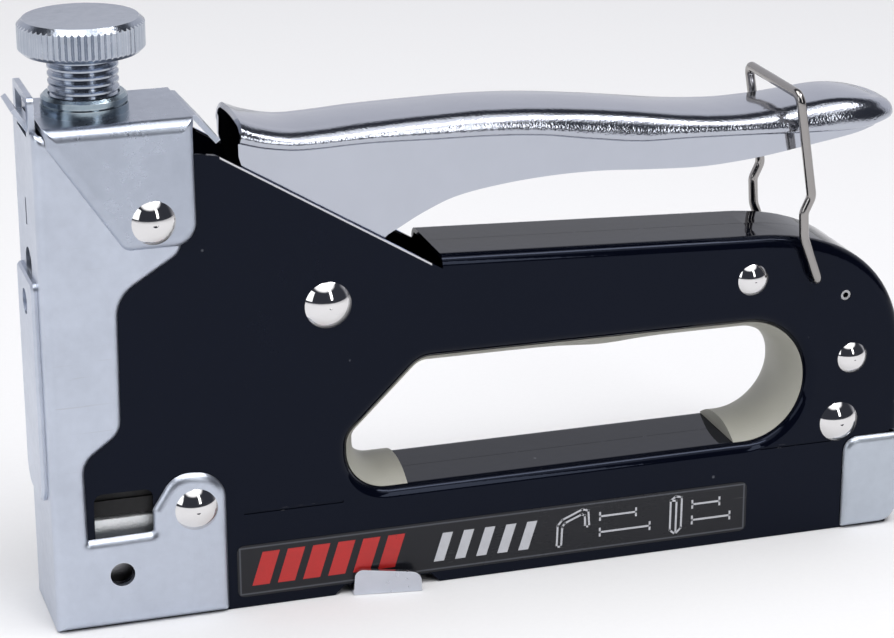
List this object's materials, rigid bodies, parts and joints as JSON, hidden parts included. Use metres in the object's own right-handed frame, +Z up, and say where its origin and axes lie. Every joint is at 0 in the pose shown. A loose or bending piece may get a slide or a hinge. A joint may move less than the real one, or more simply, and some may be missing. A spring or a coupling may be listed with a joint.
{
  "type": "staple gun",
  "caption": "Hand staple gun with pressed-steel shells, chrome squeeze lever, wire lock bail, knurled spring adjuster, lined hand loop and slide-out staple rail.",
  "frame": {"origin": "middle of the outline at the foot: the bottom centre of the bounding box", "axes": "+X from the nose to the heel, +Z up, and -Y is the side with the catch seen in use; the body is symmetric across Y"},
  "size_m": [0.1865, 0.031, 0.1223],
  "materials": {
    "black_enamel": "gloss stoved enamel",
    "beige_plastic": "fine moulded texture",
    "zinc_plate": "satin bright zinc plate",
    "blued_zinc": "blue passivated zinc",
    "zinc_knob": "knurled zinc plate",
    "machined_steel": "machined steel",
    "spring_steel": "oiled spring steel",
    "bumper_rubber": "moulded rubber",
    "lever_chrome": "chrome with slight orange peel",
    "rivet_chrome": "polished nickel chrome",
    "nickel_wire": "nickel plated wire",
    "guide_zinc": "cast zinc, worn",
    "staple_steel": "galvanised staple wire",
    "label_print": "printed film"
  },
  "bodies": {
    "housing": {"left_shell": "black_enamel", "right_shell": "black_enamel", "grip_insert": "beige_plastic", "nose_plate": "zinc_plate", "front_cover": "zinc_plate", "top_cap": "zinc_plate", "adjuster_collar": "blued_zinc", "rubber_bumper": "bumper_rubber", "lever_bush": "machined_steel", "pivot_rivet": "rivet_chrome", "large_rivets": "rivet_chrome", "small_rivets": "rivet_chrome", "spacer_tubes": "machined_steel", "retaining_pin": "machined_steel", "magazine_channel": "machined_steel", "guide_block": "guide_zinc", "info_label": "label_print", "drive_spring": "spring_steel"},
    "lever": {"lever": "lever_chrome", "lifter_arm": "machined_steel", "lever_pin": "machined_steel"},
    "striker": {"plunger": "machined_steel", "driver_blade": "machined_steel"},
    "knob": {"tension_knob": "zinc_knob"},
    "seat": {"spring_seat": "machined_steel"},
    "bail": {"wire_bail": "nickel_wire"},
    "rail": {"staple_rail": "zinc_plate", "end_guard": "zinc_plate", "guide_rod": "machined_steel", "pusher_spring": "spring_steel", "staple_strip": "staple_steel"},
    "pusher": {"pusher": "zinc_plate"},
    "catch": {"magazine_catch": "zinc_plate"}
  },
  "joints": [
    {"name": "lever_squeeze", "type": "hinge", "parent": "housing", "child": "lever", "pos_m": [-0.0335, 0, 0.063], "axis": [0, 1, 0], "range_deg": [0, 10], "stiffness_Nm_per_rad": 1.5, "springref_deg": -28.65},
    {"name": "striker_lift", "type": "slide", "parent": "housing", "child": "striker", "axis": [0, 0, 1], "range_m": [0, 0.0088], "deforming": ["drive_spring"]},
    {"name": "seat_travel", "type": "slide", "parent": "housing", "child": "seat", "axis": [0, 0, 1], "range_m": [-0.006, 0.003]},
    {"name": "knob_turn", "type": "hinge", "parent": "seat", "child": "knob", "pos_m": [-0.0782, 0, 0.1157], "axis": [0, 0, 1], "range_deg": [-1440, 720]},
    {"name": "bail_swing", "type": "hinge", "parent": "housing", "child": "bail", "pos_m": [0.0713, 0, 0.0577], "axis": [0, 1, 0], "range_deg": [0, 140]},
    {"name": "rail_slide", "type": "slide", "parent": "housing", "child": "rail", "axis": [1, 0, 0], "range_m": [0, 0.095]},
    {"name": "pusher_slide", "type": "slide", "parent": "rail", "child": "pusher", "axis": [1, 0, 0], "range_m": [0, 0.085], "stiffness_N_per_m": 60, "springref_m": -0.03},
    {"name": "catch_slide", "type": "slide", "parent": "housing", "child": "catch", "axis": [-1, 0, 0], "range_m": [0, 0.002], "stiffness_N_per_m": 800, "springref_m": -0.001}
  ],
  "couplings": [
    {"joint": "striker_lift", "follows": "lever_squeeze", "m_per_rad": 0.05},
    {"joint": "seat_travel", "follows": "knob_turn", "m_per_rad": 0.00023873}
  ]
}
